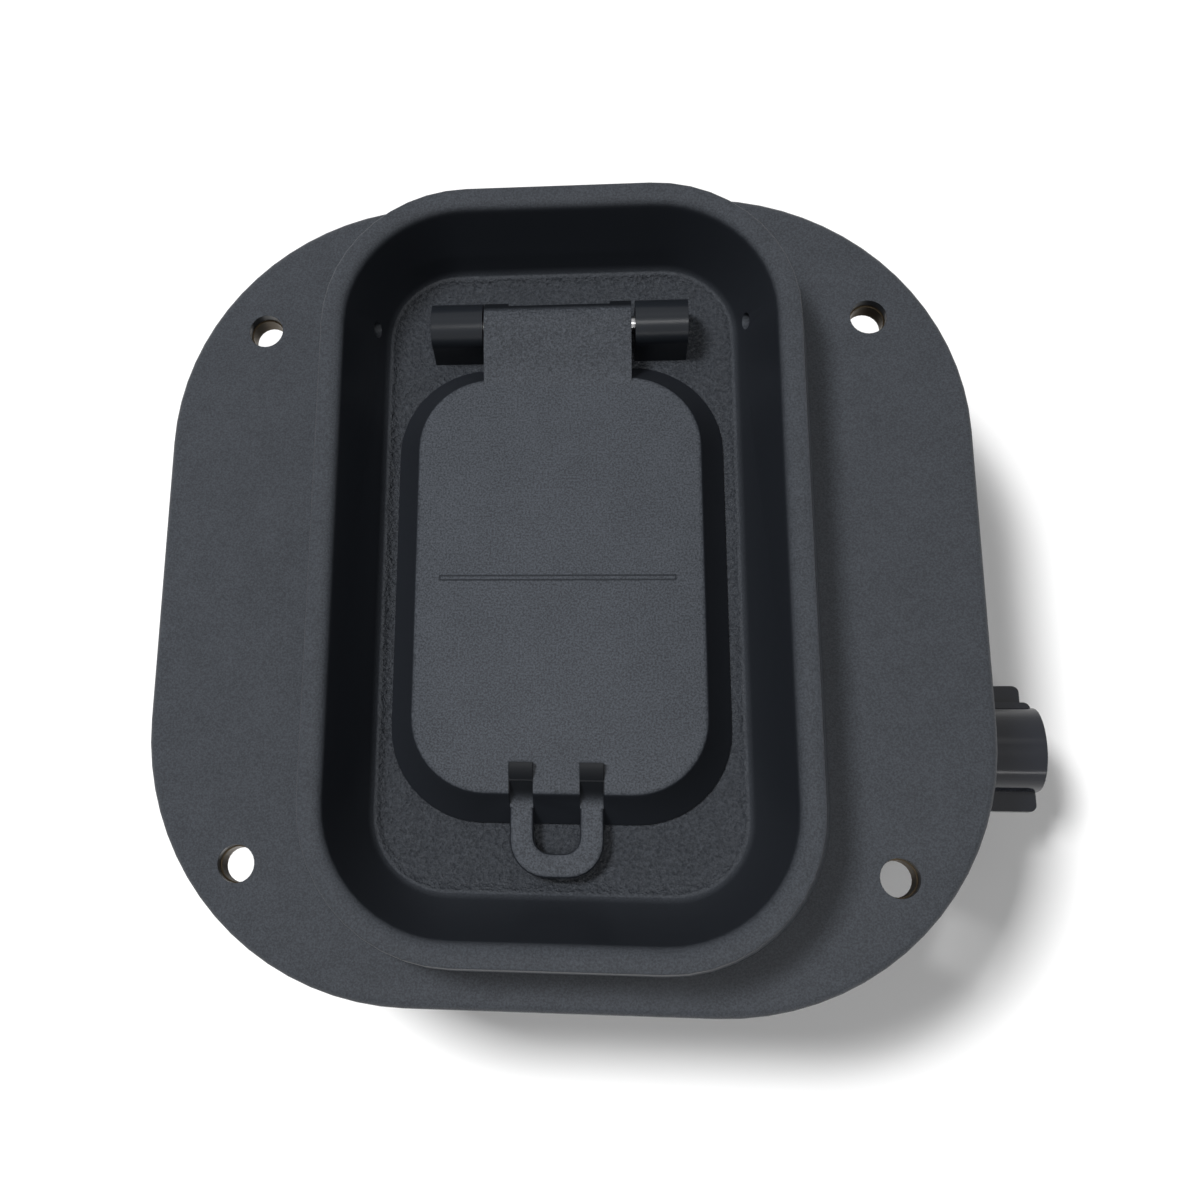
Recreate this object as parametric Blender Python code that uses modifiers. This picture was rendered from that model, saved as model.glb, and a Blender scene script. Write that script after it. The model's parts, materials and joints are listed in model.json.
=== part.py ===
"""Recessed accessory socket: a four-bolt flange, a deep bowl, a hinged lid and a rear connector."""

import math
from collections import namedtuple

import bmesh
import bpy
from mathutils import Vector

MM = 0.001

# Clearances: FIT between still pieces, RUN round the pin, OVERLAP where shapes join, PAST for cutters.
FIT = 0.25
RUN = 0.12
OVERLAP = 0.6
PAST = 2.0
STEP_IN = 0.03

FLANGE_STEPS = 18
BOWL_STEPS = 11
SMALL_STEPS = 8
ROUND_STEPS = 3

# Heights, from the housing's back face at zero up to the bowl's lip.
FLANGE_FRONT = 52.0
FLANGE_THICK = 5.2
FLANGE_WALL = 3.0
FLANGE_BACK = FLANGE_FRONT - FLANGE_THICK
RIM_HEIGHT = 15.3
LIP_TOP = FLANGE_FRONT + RIM_HEIGHT
FLOOR_DROP = 1.4
FLOOR_TOP = FLANGE_FRONT - FLOOR_DROP
FLOOR_THICK = 3.0
FLOOR_BACK = FLOOR_TOP - FLOOR_THICK
CHANNEL_HEIGHT = 7.5
CHANNEL_TOP = FLANGE_FRONT + CHANNEL_HEIGHT

# Flange outline and its bolt holes, which keep their distance to its edges.
FLANGE_HALF_W = 62.8
FLANGE_HALF_H = 63.5
FLANGE_CORNER = 40.9
FLANGE_EDGE = 1.2
LAND_WIDTH = 5.0
BOLT_IN_X_TOP = 14.5
BOLT_IN_Y_TOP = 21.9
BOLT_IN_X_LOW = 15.0
BOLT_IN_Y_LOW = 19.6
BOLT_HOLE_R = 2.8
SLEEVE_BORE_R = BOLT_HOLE_R - 0.2
SLEEVE_WALL = 1.3
SLEEVE_R = SLEEVE_BORE_R + SLEEVE_WALL
SLEEVE_LENGTH = 3.2
BOLT_BOSS_WALL = 2.35
BOLT_BOSS_R = SLEEVE_R + FIT + BOLT_BOSS_WALL

# Bowl: the lip's outline, and how far the outer and inner walls lean from it.
LIP_HALF_W = 35.85
LIP_HALF_H = 57.6
LIP_Y = 0.35
LIP_CORNER = 21.8
LIP_THICK = 3.0
LIP_ROUND = LIP_THICK * 0.5
LIP_EDGE = 0.4
LIP_FLARE = 0.4
RIM_DRAFT_X = 2.8
RIM_DRAFT_Y = 0.9
RIM_DRAFT_CORNER = 1.9
BOWL_DRAFT_X = 5.5
BOWL_DRAFT_Y = 5.7
BOWL_FLOOR_Y = 1.7
BOWL_FLOOR_CORNER = 11.0
FILLET_HEIGHT = 2.5
FILLET_REACH = 1.75
WALL = 2.8

# Lid.
LID_GAP = 0.3
LID_SIDE_GAP = 2.05
LID_HALF_H = 35.7
LID_Y = -1.5
LID_CORNER = 14.0
LID_HEIGHT = 6.5
LID_DRAFT_X = 3.5
LID_DRAFT_Y = 3.6
LID_DRAFT_CORNER = 2.7
LID_FACE_SHIFT = -0.1
LID_EDGE = 0.9
LID_WALL = 2.4

# Hinge, placed from the lid's upper end.
NECK_LENGTH = 5.5
AXIS_Y = LID_Y + LID_HALF_H + NECK_LENGTH
AXIS_RISE = 3.8
AXIS_Z = FLANGE_FRONT + AXIS_RISE
BARREL_R = 3.6
BARREL_LENGTH = 8.1
BARREL_DROP = 12.0
BARREL_STEPS = 16
PEDESTAL_HALF_FOOT = 4.3
PIN_R = 1.2
PIN_RECESS = 0.6
PIN_HOLE_R = PIN_R + RUN
NECK_X = -0.2
NECK_HALF_W = 11.45
NECK_SIDE_GAP = 0.25
NECK_THICK = 3.0
BARREL_IN_X = NECK_HALF_W - NECK_X + NECK_SIDE_GAP
BARREL_OUT_X = BARREL_IN_X + BARREL_LENGTH
KNUCKLE_LOW_ANGLE = -115.0
KNUCKLE_HIGH_ANGLE = 105.0
KNUCKLE_STEPS = 18
NOTCH_END = 3.45
NOTCH_DEPTH = 1.3

# Finger loop at the lid's free end, measured from the end of the lid.
LOOP_HALF_W = 6.75
LOOP_X = -0.25
LOOP_BAR = 3.4
LOOP_REACH = 7.8
LOOP_ROOT = 9.0
LOOP_CORNER = 5.2
LOOP_INNER_CORNER = 2.4
LOOP_EDGE = 0.5
LOOP_STEPS = 6
LOOP_RISE = 0.2
LOOP_THICK = 2.3
LOOP_BACK_Z = FLANGE_FRONT + LOOP_RISE
LOOP_TOP_Z = LOOP_BACK_Z + LOOP_THICK
LOOP_MID_Z = LOOP_BACK_Z + LOOP_THICK * 0.5
ARM_START = 4.7
ARM_END = 1.5
ARM_CREST = 1.3
ARM_STEPS = 12

# Socket under the lid: each piece is sized round the one inside it.
SOCKET_Y = -3.0
SHELL_BORE_R = 10.55
SHELL_WALL = 0.9
SHELL_R = SHELL_BORE_R + SHELL_WALL
SHELL_LIP_THICK = 0.8
HOLDER_WALL = 1.3
HOLDER_R = SHELL_R + FIT + HOLDER_WALL
HOLDER_FLANGE_REACH = 3.4
HOLDER_FLANGE_R = HOLDER_R + HOLDER_FLANGE_REACH
HOLDER_FLANGE_THICK = 1.9
HOLDER_BACK = 8.0
HOLDER_BASE = 2.5
HOLDER_HOLE_R = 5.0
HOLDER_DROP = 0.5
COLLAR_WALL = 2.75
COLLAR_R = HOLDER_R + FIT + COLLAR_WALL
COLLAR_HEIGHT = 2.2
COLLAR_TOP = FLOOR_TOP + COLLAR_HEIGHT
HOLDER_TOP = COLLAR_TOP - HOLDER_DROP
SHELL_BACK = HOLDER_BACK + HOLDER_BASE + FIT
SHELL_HOLE_R = 7.0
INSULATOR_THICK = 2.5
RIVET_R = 2.0
RIVET_HEAD_R = 4.0
RIVET_HEAD_THICK = 1.6
RIVET_HEAD_RIM = 0.6
RIVET_TAIL_R = 2.9
RIVET_CROWN = 0.2

# Lid seal, which lies over the collar.
SEAL_MARGIN = 0.6
SEAL_WIDTH = 2.1
SEAL_OUT_R = COLLAR_R - SEAL_MARGIN
SEAL_IN_R = SEAL_OUT_R - SEAL_WIDTH
SEAL_RIB = 1.2

# Rear gasket and cover.
GASKET_THICK = 1.0
GASKET_INSET = 0.65
GASKET_WIDTH = 3.3
GASKET_MARGIN = 0.4
GASKET_IN_R = HOLDER_FLANGE_R + FIT + GASKET_INSET
GASKET_OUT_R = GASKET_IN_R + GASKET_WIDTH
COVER_WALL = 2.5
COVER_STEP = 0.4
COVER_BORE_R = HOLDER_FLANGE_R - COVER_STEP
COVER_R = COVER_BORE_R + COVER_WALL
COVER_SPIGOT_R = GASKET_OUT_R + GASKET_MARGIN
COVER_SPIGOT_TOP = FLOOR_BACK - 2.0 * FIT - GASKET_THICK
COVER_SPIGOT_HEIGHT = 3.05
COVER_FLANGE_TOP = COVER_SPIGOT_TOP - COVER_SPIGOT_HEIGHT
COVER_FLANGE_THICK = 2.8
COVER_FLANGE_LOW = COVER_FLANGE_TOP - COVER_FLANGE_THICK
COVER_FLANGE_CORNER = 6.0
COVER_MARGIN = 5.5
COVER_EDGE = 0.6

# Cover screws.
SCREW_X = 21.5
SCREW_Y_HIGH = 17.5
SCREW_Y_LOW = -36.0
SCREW_R = 1.5
SCREW_HEAD_R = 3.4
SCREW_HEAD_THICK = 2.3
SCREW_DOME = 1.2
SCREW_DOME_R = 2.4
SCREW_POINT = 1.4
SCREW_POINT_R = 0.75
SCREW_BITE = 0.8
SCREW_TIP_Z = FLOOR_BACK + SCREW_BITE
SCREW_BOSS_WALL = 2.25
SCREW_BOSS_R = SCREW_R + FIT + SCREW_BOSS_WALL
DRIVE_R = 1.3
DRIVE_DEPTH = 1.2

# Side arm and connector shroud.
ARM_Y = -22.4
ARM_HALF_Y = 8.5
ARM_LOW_Z = 2.5
ARM_HIGH_Z = 30.0
ARM_START_X = -10.0
ARM_END_X = 52.0
ARM_CORNER = 2.5
SHROUD_Z = 20.0
SHROUD_LENGTH = 24.0
SHROUD_END_X = ARM_END_X + SHROUD_LENGTH
SHROUD_HALF_Y = 6.7
SHROUD_HALF_Z = 10.1
SHROUD_CORNER = 6.6
SHROUD_WALL = 1.6
SET_BACK = 0.1
KEY_CORNER = 1.1
WING_REACH = 9.8
WING_LOW_Z = SHROUD_Z + 0.2
WING_THICK = 2.0
RIB_REACH = 11.2
RIB_LOW_Z = SHROUD_Z - 4.4
RIB_THICK = 2.8
LEDGE_REACH = 7.6
LEDGE_HIGH_Z = SHROUD_Z + 4.2

# Terminals.
STRIP = 0.8
BLADE_HALF_W = 2.4
BLADE_RECESS = 6.0
BLADE_TIP = 1.0
BLADE_TIP_TAPER = 0.8
BLADE_OFFSET = 4.0
BLADE_END_X = SHROUD_END_X - BLADE_RECESS
POSITIVE_Z = SHROUD_Z - BLADE_OFFSET
NEGATIVE_Z = SHROUD_Z + BLADE_OFFSET
RING_GAP = 0.4
RING_Z = HOLDER_BACK - RING_GAP - STRIP
RING_R = 3.8
BEND_X = 20.0
SLOT_GAP = 0.35
TAB_BELOW = 3.0
TAB_ABOVE = 5.5
WINDOW_GAP = 0.5
WINDOW_SIDE_GAP = 0.8

PLASTIC_GRAINED = ((0.052, 0.056, 0.062), 0.62, 0.0)
PLASTIC_LID = ((0.058, 0.061, 0.067), 0.6, 0.0)
PLASTIC_GLOSS = ((0.02, 0.021, 0.024), 0.22, 0.0)
PLASTIC_HOLDER = ((0.03, 0.03, 0.032), 0.45, 0.0)
PHENOLIC = ((0.16, 0.07, 0.03), 0.55, 0.0)
RUBBER = ((0.02, 0.02, 0.02), 0.85, 0.0)
STEEL = ((0.62, 0.62, 0.63), 0.28, 1.0)
PLATED = ((0.72, 0.71, 0.68), 0.22, 1.0)
ZINC_YELLOW = ((0.56, 0.47, 0.33), 0.38, 1.0)
BRASS = ((0.72, 0.55, 0.24), 0.3, 1.0)
SCREW_BLACK = ((0.05, 0.05, 0.055), 0.4, 1.0)

# A rounded rectangle at one height. Its centre lies at x = 0.
Section = namedtuple("Section", "half_w half_h corner y z")


def clear_scene():
    for obj in list(bpy.data.objects):
        bpy.data.objects.remove(obj, do_unlink=True)


def new_collection(name, hidden):
    made = bpy.data.collections.new(name)
    bpy.context.scene.collection.children.link(made)
    made.hide_render = hidden
    return made


def make_material(name, look):
    colour, roughness, metallic = look
    material = bpy.data.materials.new(name)
    material.use_nodes = True
    shader = material.node_tree.nodes["Principled BSDF"]
    shader.inputs["Base Color"].default_value = (*colour, 1.0)
    shader.inputs["Roughness"].default_value = roughness
    shader.inputs["Metallic"].default_value = metallic
    material.diffuse_color = (*colour, 1.0)
    return material


def place(obj, where):
    for old in list(obj.users_collection):
        old.objects.unlink(obj)
    where.objects.link(obj)
    return obj


def finish(obj, look):
    """Puts a finished sub-part in the object's collection with its own material."""
    place(obj, PARTS)
    obj.data.materials.clear()
    obj.data.materials.append(make_material(obj.name, look))
    return obj


def helper(obj):
    place(obj, CUTTERS)
    obj.hide_render = True
    obj.display_type = "WIRE"
    return obj


def mesh_object(name, work):
    mesh = bpy.data.meshes.new(name)
    work.to_mesh(mesh)
    work.free()
    obj = bpy.data.objects.new(name, mesh)
    bpy.context.scene.collection.objects.link(obj)
    return obj


def combine(obj, other, operation):
    """Cuts or joins with a second mesh, which becomes a helper."""
    helper(other)
    step = obj.modifiers.new(other.name, "BOOLEAN")
    step.operation = operation
    step.solver = "EXACT"
    step.object = other
    return obj


def cut(obj, other):
    return combine(obj, other, "DIFFERENCE")


def join(obj, other):
    return combine(obj, other, "UNION")


def outline_of(section, steps):
    """A rounded rectangle, anticlockwise seen from above."""
    smallest = min(section.half_w, section.half_h)
    corner = min(section.corner, smallest - STEP_IN)
    reach_x = section.half_w - corner
    reach_y = section.half_h - corner
    points = []
    for quarter, (side_x, side_y) in enumerate(((1, 1), (-1, 1), (-1, -1), (1, -1))):
        for step in range(steps + 1):
            angle = math.radians(90.0 * (quarter + step / steps))
            x = side_x * reach_x + corner * math.cos(angle)
            y = side_y * reach_y + corner * math.sin(angle) + section.y
            points.append((x, y))
    return points


def loft(name, sections, steps):
    """A closed solid through rounded rectangles, listed from the lowest up."""
    work = bmesh.new()
    rings = []
    for section in sections:
        corners = [(x * MM, y * MM, section.z * MM) for x, y in outline_of(section, steps)]
        rings.append([work.verts.new(corner) for corner in corners])
    for below, above in zip(rings, rings[1:]):
        for here in range(len(below)):
            after = (here + 1) % len(below)
            work.faces.new((below[here], below[after], above[after], above[here]))
    work.faces.new(list(reversed(rings[0])))
    work.faces.new(rings[-1])
    return mesh_object(name, work)


def inset(section, by, z=None):
    """The same outline moved in by a distance, or out when it is negative."""
    return Section(
        section.half_w - by,
        section.half_h - by,
        max(section.corner - by, STEP_IN),
        section.y,
        section.z if z is None else z,
    )


def between(low, high, z):
    """The section at a height on the straight wall between two others."""
    share = (z - low.z) / (high.z - low.z)
    values = [a + (b - a) * share for a, b in zip(low[:4], high[:4])]
    return Section(*values, z)


def rounded_edge(section, radius, side=1.0):
    """Sections that round off a wall's top edge inwards, or outwards where side is -1."""
    sections = []
    for step in range(ROUND_STEPS + 1):
        angle = math.radians(90.0 * step / ROUND_STEPS)
        by = side * radius * (1.0 - math.cos(angle))
        z = section.z - radius + radius * math.sin(angle)
        sections.append(inset(section, by, z))
    return sections


def box(name, low, high):
    bpy.ops.mesh.primitive_cube_add(size=1.0)
    obj = bpy.context.object
    obj.name = name
    middle = (Vector(low) + Vector(high)) * 0.5 * MM
    size = (Vector(high) - Vector(low)) * MM
    for vertex in obj.data.vertices:
        vertex.co = Vector(a * b for a, b in zip(vertex.co, size)) + middle
    return obj


def cylinder(name, radius, start, end, steps=32):
    """A solid cylinder between two points."""
    start = Vector(start) * MM
    end = Vector(end) * MM
    along = end - start
    bpy.ops.mesh.primitive_cylinder_add(vertices=steps, radius=radius * MM, depth=along.length)
    obj = bpy.context.object
    obj.name = name
    turn = along.to_track_quat("Z", "Y").to_matrix().to_4x4()
    obj.data.transform(turn)
    for vertex in obj.data.vertices:
        vertex.co += (start + end) * 0.5
    return obj


def upright(name, radius, place_at, low_z, high_z, steps=32):
    """A solid cylinder along Z at an (x, y) place."""
    x, y = place_at
    return cylinder(name, radius, (x, y, low_z), (x, y, high_z), steps)


def turned(name, profile, x, y, steps=32):
    """A turned piece: the profile runs down its outer side, and back up its inner side if it has one."""
    mesh = bpy.data.meshes.new(name)
    closed = profile[0][0] > 0.0
    points = [(radius * MM, 0.0, z * MM) for radius, z in profile]
    edges = [(i, i + 1) for i in range(len(points) - 1)]
    if closed:
        edges.append((len(points) - 1, 0))
    mesh.from_pydata(points, edges, [])
    obj = bpy.data.objects.new(name, mesh)
    bpy.context.scene.collection.objects.link(obj)
    obj.location = (x * MM, y * MM, 0.0)
    screw = obj.modifiers.new("turn", "SCREW")
    screw.steps = steps
    screw.render_steps = steps
    screw.use_merge_vertices = True
    screw.merge_threshold = 0.00001
    screw.use_normal_calculate = False
    return obj


def ring_profile(out_r, in_r, low_z, high_z):
    """The profile of a plain turned ring."""
    return [(out_r, high_z), (out_r, low_z), (in_r, low_z), (in_r, high_z)]


def extruded(name, outline, thickness):
    """A flat outline filled and extruded to both sides of its own plane."""
    curve = bpy.data.curves.new(name, "CURVE")
    curve.dimensions = "2D"
    curve.fill_mode = "BOTH"
    curve.extrude = thickness * 0.5 * MM
    spline = curve.splines.new("POLY")
    spline.points.add(len(outline) - 1)
    for point, (across, along) in zip(spline.points, outline):
        point.co = (across * MM, along * MM, 0.0, 1.0)
    spline.use_cyclic_u = True
    obj = bpy.data.objects.new(name, curve)
    bpy.context.scene.collection.objects.link(obj)
    return obj


def plate_on_side(name, outline, low_x, high_x):
    """A flat (y, z) outline extruded along X."""
    obj = extruded(name, outline, high_x - low_x)
    obj.rotation_euler = (math.radians(90.0), 0.0, math.radians(90.0))
    obj.location.x = (low_x + high_x) * 0.5 * MM
    return as_mesh(obj)


def flat_plate(name, outline, low_z, high_z):
    """A flat (x, y) outline extruded along Z."""
    obj = extruded(name, outline, high_z - low_z)
    obj.location.z = (low_z + high_z) * 0.5 * MM
    return as_mesh(obj)


def as_mesh(obj):
    """The object's evaluated shape as one welded mesh in world space."""
    bpy.context.view_layer.update()
    graph = bpy.context.evaluated_depsgraph_get()
    mesh = bpy.data.meshes.new_from_object(obj.evaluated_get(graph))
    mesh.transform(obj.matrix_world)
    work = bmesh.new()
    work.from_mesh(mesh)
    bmesh.ops.remove_doubles(work, verts=work.verts, dist=0.000001)
    bmesh.ops.recalc_face_normals(work, faces=work.faces)
    name = obj.name
    bpy.data.objects.remove(obj, do_unlink=True)
    bpy.data.meshes.remove(mesh)
    return mesh_object(name, work)


def arc_points(y, z, radius, start, end, steps):
    """Points on an arc in the (y, z) plane, from one angle in degrees to another."""
    points = []
    for step in range(steps + 1):
        angle = math.radians(start + (end - start) * step / steps)
        points.append((y + radius * math.cos(angle), z + radius * math.sin(angle)))
    return points


def side_outline(half_y, half_z, corner, y, z):
    """A rounded rectangle in the (y, z) plane."""
    section = Section(half_y, half_z, corner, 0.0, 0.0)
    return [(a + y, b + z) for a, b in outline_of(section, SMALL_STEPS)]


def bolt_places():
    top_x = FLANGE_HALF_W - BOLT_IN_X_TOP
    top_y = FLANGE_HALF_H - BOLT_IN_Y_TOP
    low_x = FLANGE_HALF_W - BOLT_IN_X_LOW
    low_y = BOLT_IN_Y_LOW - FLANGE_HALF_H
    return ((-top_x, top_y), (top_x, top_y), (-low_x, low_y), (low_x, low_y))


def screw_places():
    return (
        (-SCREW_X, SCREW_Y_HIGH),
        (SCREW_X, SCREW_Y_HIGH),
        (-SCREW_X, SCREW_Y_LOW),
        (SCREW_X, SCREW_Y_LOW),
    )


FLANGE = Section(FLANGE_HALF_W, FLANGE_HALF_H, FLANGE_CORNER, 0.0, FLANGE_FRONT)
LIP_OUT = Section(LIP_HALF_W, LIP_HALF_H, LIP_CORNER, LIP_Y, LIP_TOP)
LIP_IN = inset(LIP_OUT, LIP_THICK)
RIM_BASE = Section(
    LIP_HALF_W + RIM_DRAFT_X,
    LIP_HALF_H + RIM_DRAFT_Y,
    LIP_CORNER + RIM_DRAFT_CORNER,
    LIP_Y,
    FLANGE_FRONT,
)
BOWL_FLOOR = Section(
    LIP_IN.half_w - BOWL_DRAFT_X,
    LIP_IN.half_h - BOWL_DRAFT_Y,
    BOWL_FLOOR_CORNER,
    BOWL_FLOOR_Y,
    FLOOR_TOP,
)
LID_BASE = Section(
    BOWL_FLOOR.half_w - LID_SIDE_GAP,
    LID_HALF_H,
    LID_CORNER,
    LID_Y,
    FLOOR_TOP + LID_GAP,
)
LID_FACE = Section(
    LID_BASE.half_w - LID_DRAFT_X,
    LID_HALF_H - LID_DRAFT_Y,
    LID_CORNER - LID_DRAFT_CORNER,
    LID_Y + LID_FACE_SHIFT,
    FLOOR_TOP + LID_HEIGHT,
)
LID_ROOF = LID_FACE.z - LID_WALL
SOCKET = (0.0, SOCKET_Y)


def bowl_cutter():
    """The bowl's inside: a filleted floor, drafted walls and a rounded lip."""
    sections = []
    for step in range(ROUND_STEPS + 1):
        angle = math.radians(90.0 * step / ROUND_STEPS)
        z = FLOOR_TOP + FILLET_HEIGHT * (1.0 - math.cos(angle))
        by = FILLET_REACH * (1.0 - math.sin(angle))
        sections.append(inset(between(BOWL_FLOOR, LIP_IN, z), by))
    lip = between(BOWL_FLOOR, LIP_IN, LIP_TOP - LIP_ROUND)._replace(z=LIP_TOP)
    sections += rounded_edge(lip, LIP_ROUND, -1.0)
    sections.append(inset(sections[-1], -LIP_FLARE, LIP_TOP + PAST))
    return loft("bowl_cutter", sections, BOWL_STEPS)


def channel_cutter():
    """The ring between the bowl's wall and the rim's outer wall, open at the back."""
    low_z = FLANGE_BACK - PAST
    outer = loft(
        "channel_cutter",
        [
            inset(between(RIM_BASE, LIP_OUT, low_z), WALL),
            inset(between(RIM_BASE, LIP_OUT, CHANNEL_TOP), WALL),
        ],
        SMALL_STEPS,
    )
    low_wall = inset(BOWL_FLOOR, -WALL)
    inner = loft(
        "channel_core",
        [
            low_wall._replace(z=low_z - PAST),
            low_wall,
            inset(between(BOWL_FLOOR, LIP_IN, CHANNEL_TOP + PAST), -WALL),
        ],
        SMALL_STEPS,
    )
    return cut(outer, inner)


def pocket_cutter():
    """The shallow pocket in the flange's back, inside its bearing land and round its bolt bosses."""
    outer = loft(
        "pocket_cutter",
        [
            inset(FLANGE, LAND_WIDTH, FLANGE_BACK - PAST),
            inset(FLANGE, LAND_WIDTH, FLANGE_FRONT - FLANGE_WALL),
        ],
        SMALL_STEPS,
    )
    core_low = FLANGE_BACK - 2.0 * PAST
    core = [RIM_BASE._replace(z=core_low), RIM_BASE]
    cut(outer, loft("pocket_core", core, SMALL_STEPS))
    for number, spot in enumerate(bolt_places(), 1):
        boss = upright(f"pocket_boss_{number}", BOLT_BOSS_R, spot, core_low, FLANGE_FRONT, 24)
        cut(outer, boss)
    return outer


def barrel(name, low_x, high_x):
    """One hinge barrel on its pedestal, which runs down into the floor."""
    profile = arc_points(
        AXIS_Y, AXIS_Z, BARREL_R, -BARREL_DROP, 180.0 + BARREL_DROP, BARREL_STEPS
    )
    foot_z = FLOOR_TOP - OVERLAP
    profile.append((AXIS_Y - PEDESTAL_HALF_FOOT, foot_z))
    profile.append((AXIS_Y + PEDESTAL_HALF_FOOT, foot_z))
    return plate_on_side(name, profile, low_x, high_x)


def rim_body():
    """The raised wall that stands on the flange, solid until the bowl is cut out of it."""
    foot = between(RIM_BASE, LIP_OUT, FLANGE_FRONT - FLANGE_WALL * 0.5)
    top = between(RIM_BASE, LIP_OUT, LIP_TOP - LIP_EDGE)._replace(z=LIP_TOP)
    return loft("rim_body", [foot] + rounded_edge(top, LIP_EDGE), BOWL_STEPS)


def underside_cutter():
    """The space behind the bowl's floor, inside the channel's inner wall."""
    wall = inset(BOWL_FLOOR, -WALL + OVERLAP)
    sections = [wall._replace(z=FLANGE_BACK - PAST), wall._replace(z=FLOOR_BACK)]
    return loft("underside_cutter", sections, SMALL_STEPS)


def add_screw_bosses(bezel):
    for number, spot in enumerate(screw_places(), 1):
        low = COVER_FLANGE_TOP + FIT
        high = FLOOR_BACK + OVERLAP
        join(bezel, upright(f"screw_boss_{number}", SCREW_BOSS_R, spot, low, high, 20))


def drill_screw_pilots(bezel):
    for number, spot in enumerate(screw_places(), 1):
        low = COVER_FLANGE_TOP - PAST
        high = SCREW_TIP_Z + FIT
        cut(bezel, upright(f"pilot_{number}", SCREW_R + FIT, spot, low, high, 16))


def drill_bolt_holes(bezel):
    low = FLANGE_BACK - PAST
    for number, spot in enumerate(bolt_places(), 1):
        hole = upright(f"bolt_hole_{number}", BOLT_HOLE_R, spot, low, FLANGE_FRONT + PAST, 28)
        cut(bezel, hole)
        seat_top = FLANGE_BACK + SLEEVE_LENGTH + FIT
        cut(bezel, upright(f"sleeve_seat_{number}", SLEEVE_R + FIT, spot, low, seat_top, 28))


def drill_pin_bore(bezel):
    """One drilling through both barrels and out through the bowl's two side walls."""
    wall_x = between(BOWL_FLOOR, LIP_IN, AXIS_Z).half_w + WALL
    start = (-wall_x - PAST, AXIS_Y, AXIS_Z)
    end = (wall_x + PAST, AXIS_Y, AXIS_Z)
    cut(bezel, cylinder("pin_bore", PIN_HOLE_R, start, end, 20))


def build_bezel():
    low = FLANGE._replace(z=FLANGE_BACK)
    bezel = loft("bezel", [low] + rounded_edge(FLANGE, FLANGE_EDGE), FLANGE_STEPS)
    join(bezel, rim_body())
    cut(bezel, pocket_cutter())
    cut(bezel, channel_cutter())
    cut(bezel, underside_cutter())
    cut(bezel, bowl_cutter())
    join(bezel, barrel("barrel_left", -BARREL_OUT_X, -BARREL_IN_X))
    join(bezel, barrel("barrel_right", BARREL_IN_X, BARREL_OUT_X))
    join(bezel, upright("collar", COLLAR_R, SOCKET, FLOOR_TOP - OVERLAP, COLLAR_TOP, 48))
    add_screw_bosses(bezel)
    hole_low = FLOOR_BACK - PAST
    hole_high = COLLAR_TOP + PAST
    cut(bezel, upright("socket_hole", HOLDER_R + FIT, SOCKET, hole_low, hole_high, 48))
    drill_screw_pilots(bezel)
    drill_bolt_holes(bezel)
    drill_pin_bore(bezel)
    return finish(bezel, PLASTIC_GRAINED)


def build_sleeves():
    """Metal compression sleeves pressed into the flange's back round the bolt holes."""
    profile = ring_profile(SLEEVE_R, SLEEVE_BORE_R, FLANGE_BACK, FLANGE_BACK + SLEEVE_LENGTH)
    for number, (x, y) in enumerate(bolt_places(), 1):
        finish(turned(f"bolt_sleeve_{number}", profile, x, y, 24), ZINC_YELLOW)


def build_hinge_pin():
    half_length = BARREL_OUT_X - PIN_RECESS
    start = (-half_length, AXIS_Y, AXIS_Z)
    end = (half_length, AXIS_Y, AXIS_Z)
    finish(cylinder("hinge_pin", PIN_R, start, end, 20), STEEL)


def neck():
    """The lid's neck: a plate that runs up into a knuckle round the pin."""
    knuckle = arc_points(
        AXIS_Y, AXIS_Z, BARREL_R, KNUCKLE_LOW_ANGLE, KNUCKLE_HIGH_ANGLE, KNUCKLE_STEPS
    )
    root_y = LID_FACE.y + LID_FACE.half_h - LID_EDGE
    profile = [(root_y, LID_FACE.z - NECK_THICK)] + knuckle + [(root_y, LID_FACE.z)]
    made = plate_on_side("neck", profile, NECK_X - NECK_HALF_W, NECK_X + NECK_HALF_W)
    notch_half = NECK_HALF_W - NOTCH_END
    low = (-notch_half, AXIS_Y + BARREL_R - NOTCH_DEPTH, AXIS_Z - 2.0 * BARREL_R)
    high = (notch_half, AXIS_Y + BARREL_R + PAST, AXIS_Z + 2.0 * BARREL_R)
    return cut(made, box("neck_notch", low, high))


def arm_curve():
    """The top of an arm, from its crest on the lid's face down to the loop, as (y, z) points."""
    edge_y = LID_FACE.y - LID_FACE.half_h
    high_z = LID_FACE.z + ARM_CREST
    points = []
    for step in range(ARM_STEPS + 1):
        share = step / ARM_STEPS
        drop = 0.5 - 0.5 * math.cos(math.pi * share)
        y = edge_y + ARM_START - (ARM_START + ARM_END) * share
        points.append((y, high_z + (LOOP_TOP_Z - high_z) * drop))
    return points


def loop_arm(name, low_x, high_x):
    """One arm of the loop, which rises out of the lid's face and turns down over its edge."""
    curve = arm_curve()
    profile = curve + [(curve[-1][0], LOOP_MID_Z), (curve[0][0], LOOP_MID_Z)]
    return plate_on_side(name, profile, low_x, high_x)


def arm_notch(name, low_x, high_x):
    """What is cleared from the lid's edge above an arm."""
    curve = [(y, z - OVERLAP * 0.5) for y, z in arm_curve()]
    high_z = LID_FACE.z + ARM_CREST + PAST
    crossing = [point for point in curve if point[1] < LID_FACE.z]
    profile = crossing + [(crossing[-1][0] - PAST, LOOP_TOP_Z), (crossing[-1][0] - PAST, high_z)]
    profile.append((crossing[0][0], high_z))
    return plate_on_side(name, profile, low_x + STEP_IN, high_x - STEP_IN)


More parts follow.
